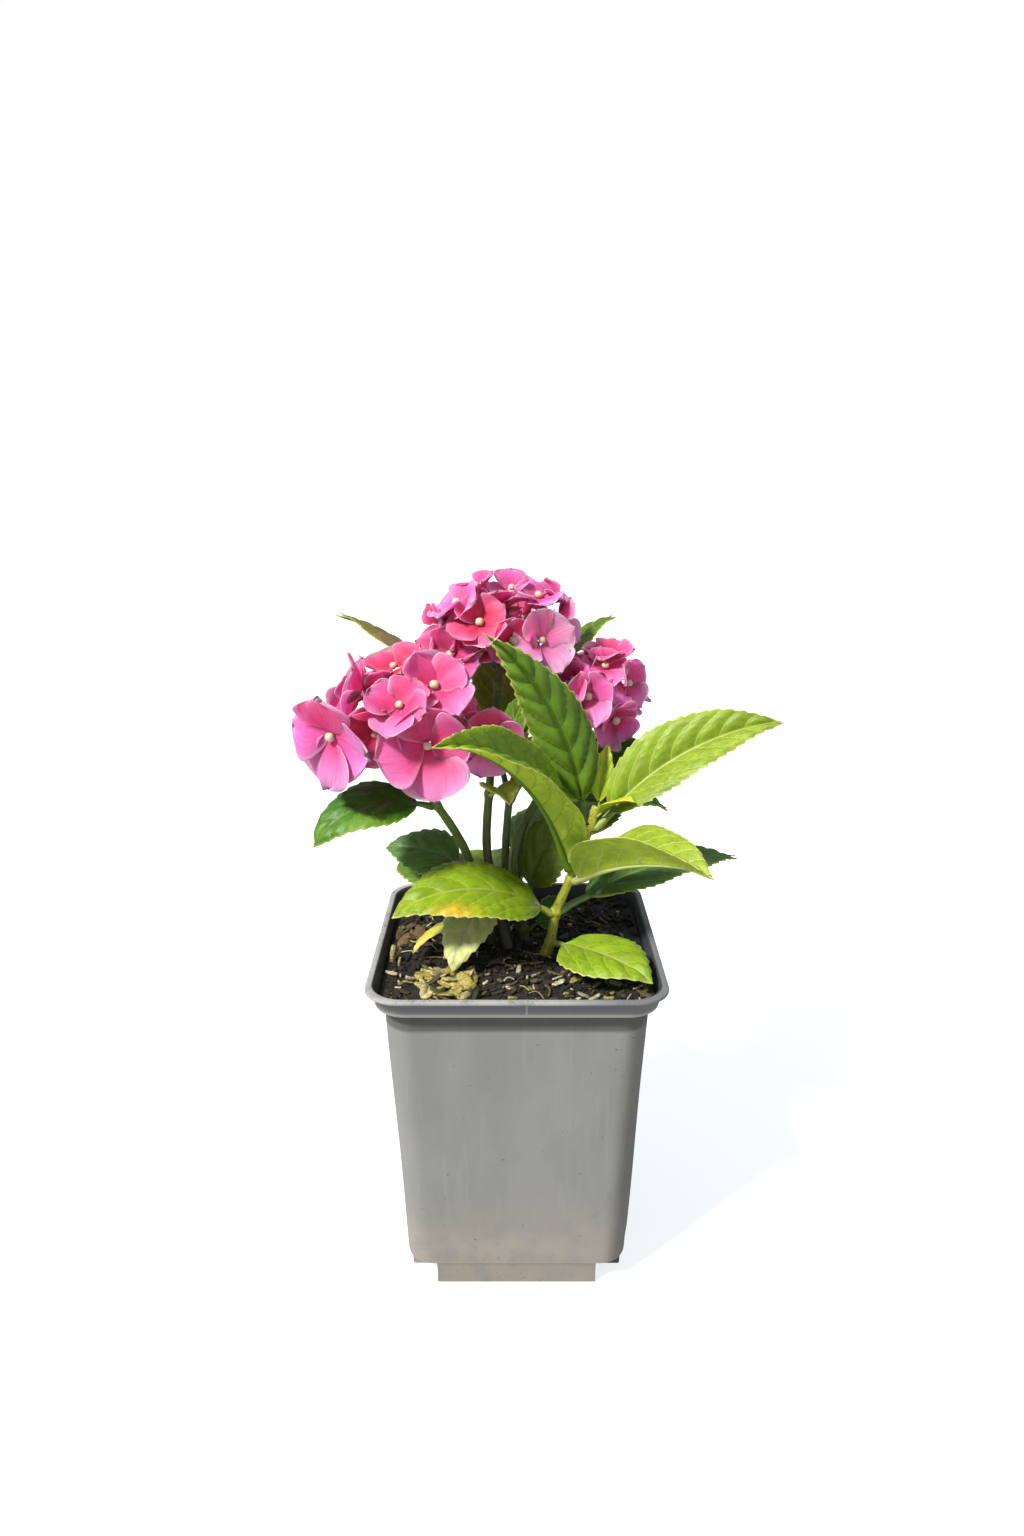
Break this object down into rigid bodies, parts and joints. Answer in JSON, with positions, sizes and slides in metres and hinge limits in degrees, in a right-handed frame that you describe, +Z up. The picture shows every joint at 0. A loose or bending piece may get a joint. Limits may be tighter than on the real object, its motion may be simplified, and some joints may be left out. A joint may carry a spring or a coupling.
{
  "type": "potted pink hydrangea shrub",
  "caption": "Young leafy hydrangea shrub with domed clusters of four-petalled pink blossom, standing in a square tapered plastic nursery pot of dark potting mix.",
  "frame": {"origin": "middle of the pot's flat underside, where it stands", "axes": "+Z up along the plant, -Y towards the front with the leafy shoot, +X to the right seen from the front"},
  "size_m": [0.199, 0.1517, 0.2951],
  "materials": {
    "pot_plastic": "satin, dusty near the foot, worn pale on the lip",
    "soil": "dark moist mix with bark chips and pale fibres",
    "stem_green": "matt green, browner towards the foot",
    "leaf_bright": "satin leaf with sunken veins",
    "leaf_dark": "satin leaf with sunken veins",
    "petal_pink": "soft matt petals, paler at the edges"
  },
  "bodies": {
    "root": {"pot": "pot_plastic", "potting_soil": "soil", "stem_front": "stem_green", "stem_left": "stem_green", "stem_centre": "stem_green", "stem_right": "stem_green", "stem_back": "stem_green", "leaf_front_upright": "leaf_bright", "leaf_front_arched": "leaf_bright", "leaf_front_long": "leaf_bright", "leaf_front_right": "leaf_bright", "leaf_front_under": "leaf_dark", "leaf_front_low": "leaf_bright", "leaf_front_ground": "leaf_bright", "leaf_young_tall": "leaf_bright", "leaf_young_short": "leaf_bright", "leaf_left_out": "leaf_dark", "leaf_left_shaded": "leaf_dark", "leaf_left_low_back": "leaf_dark", "leaf_hanging": "leaf_bright", "leaf_hanging_yellow": "leaf_bright", "leaf_centre_left_tip": "leaf_dark", "leaf_centre_right_tip": "leaf_dark", "leaf_centre_shaded": "leaf_dark", "leaf_centre_cupped": "leaf_dark", "leaf_right_shaded": "leaf_dark", "leaf_right_tip": "leaf_dark", "leaf_right_back": "leaf_dark", "leaf_back_olive": "leaf_dark", "leaf_inner_low": "leaf_dark", "leaf_front_behind": "leaf_dark", "leaf_left_behind": "leaf_dark", "leaf_back_low": "leaf_dark", "leaf_back_left": "leaf_dark", "leaf_back_tall": "leaf_dark", "leaf_back_right": "leaf_dark", "bloom_top": "petal_pink", "bloom_left": "petal_pink", "bloom_right": "petal_pink"}
  },
  "joints": []
}
